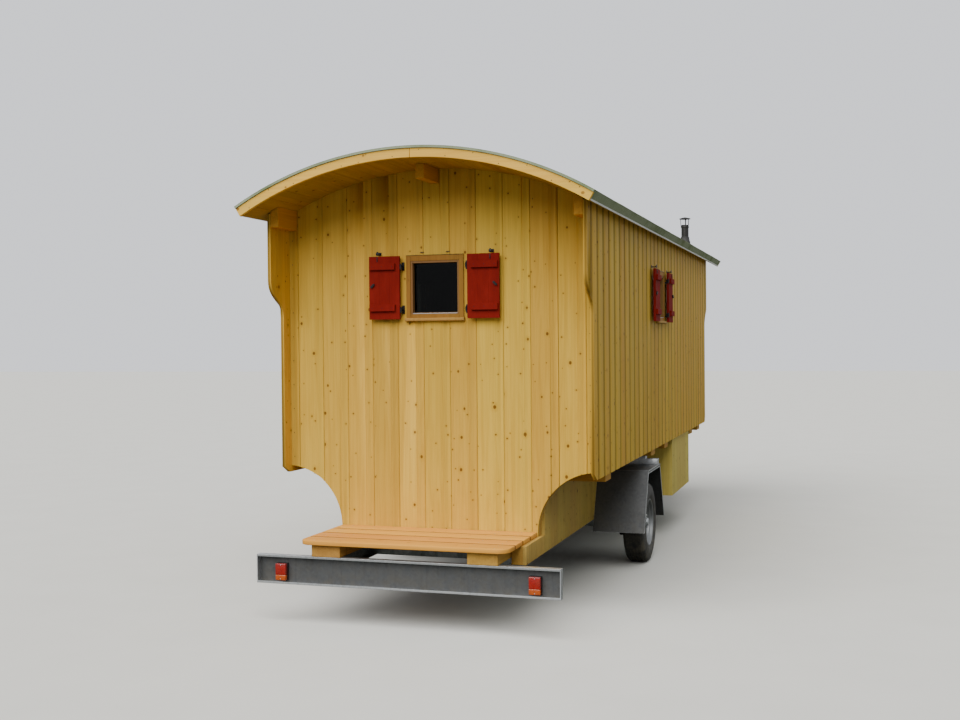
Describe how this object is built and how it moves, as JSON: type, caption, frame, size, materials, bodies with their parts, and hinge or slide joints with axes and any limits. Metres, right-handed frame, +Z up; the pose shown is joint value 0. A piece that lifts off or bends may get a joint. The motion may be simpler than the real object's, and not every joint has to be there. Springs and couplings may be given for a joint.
{
  "type": "shepherds hut",
  "caption": "Wooden shepherd's hut on a single-axle road trailer, with a barrel roof, board cladding, shuttered windows, a rear deck and a flue.",
  "frame": {"origin": "on the ground, at the middle of the whole trailer's length and width", "axes": "+Y from the rear deck towards the drawbar, +X to the side with the flue, +Z up"},
  "size_m": [2.4598, 7.65, 3.166],
  "materials": {
    "spruce": "oiled spruce boards, matte",
    "framing": "planed softwood, matte",
    "bargeboard": "planed boards, matte",
    "larch": "fresh larch, matte",
    "joinery": "oiled, satin",
    "red_paint": "painted, satin",
    "door_wood": "oiled, satin",
    "felt": "mineral roofing felt, matte",
    "iron": "black, satin",
    "galvanised": "galvanised",
    "drip": "mill finish",
    "lamp": "gloss",
    "glass": "clear",
    "tyre": "matte",
    "rim": "satin",
    "flue": "matte black"
  },
  "bodies": {
    "hut": {"rear_wall": "framing", "front_wall": "framing", "right_wall": "framing", "left_wall": "framing", "rear_cladding": "spruce", "front_cladding": "spruce", "right_cladding": "spruce", "left_cladding": "spruce", "lower_walls": "framing", "lower_cladding": "spruce", "floor": "framing", "overhang_floors": "framing", "overhang_joists": "framing", "floor_bearers": "framing", "roof_shell": "spruce", "roof_felt": "felt", "bargeboards": "bargeboard", "eaves_trim": "drip", "purlins": "bargeboard", "flue_pipe": "flue", "flue_cowl": "flue", "rear_window_frame": "joinery", "side_window_frames": "joinery", "window_glass": "glass", "left_shutters": "red_paint", "left_straps": "iron", "shutter_pintles": "iron", "shutter_catches": "iron", "door_frame": "joinery", "entrance_door": "door_wood", "deck_boards": "larch", "deck_bearers": "framing", "chassis": "galvanised", "coupling_head": "iron", "prop_stand": "galvanised", "axle": "galvanised", "fenders": "galvanised", "fender_hangers": "galvanised", "storage_boxes": "spruce", "light_bar": "galvanised", "rear_lamps": "lamp"},
    "rear_left_leaf": {"rear_left_shutter": "red_paint", "rear_left_straps": "iron"},
    "rear_right_leaf": {"rear_right_shutter": "red_paint", "rear_right_straps": "iron"},
    "right_back_leaf": {"right_back_shutter": "red_paint", "right_back_straps": "iron"},
    "right_front_leaf": {"right_front_shutter": "red_paint", "right_front_straps": "iron"},
    "right_wheel": {"right_rim": "rim", "right_tyre": "tyre"},
    "left_wheel": {"left_rim": "rim", "left_tyre": "tyre"}
  },
  "joints": [
    {"name": "rear_left_shutter_hinge", "type": "hinge", "parent": "hut", "child": "rear_left_leaf", "pos_m": [-0.236, -3.166, 2.2], "axis": [0, 0, 1], "range_deg": [0, 180]},
    {"name": "rear_right_shutter_hinge", "type": "hinge", "parent": "hut", "child": "rear_right_leaf", "pos_m": [0.236, -3.166, 2.2], "axis": [0, 0, -1], "range_deg": [0, 180]},
    {"name": "right_back_shutter_hinge", "type": "hinge", "parent": "hut", "child": "right_back_leaf", "pos_m": [1.162, -0.786, 2.2], "axis": [0, 0, 1], "range_deg": [0, 180]},
    {"name": "right_front_shutter_hinge", "type": "hinge", "parent": "hut", "child": "right_front_leaf", "pos_m": [1.162, -0.314, 2.2], "axis": [0, 0, -1], "range_deg": [0, 180]},
    {"name": "right_wheel_spin", "type": "hinge", "parent": "hut", "child": "right_wheel", "pos_m": [1.022, -1.03, 0.325], "axis": [1, 0, 0], "continuous": true},
    {"name": "left_wheel_spin", "type": "hinge", "parent": "hut", "child": "left_wheel", "pos_m": [-1.022, -1.03, 0.325], "axis": [1, 0, 0], "continuous": true}
  ]
}
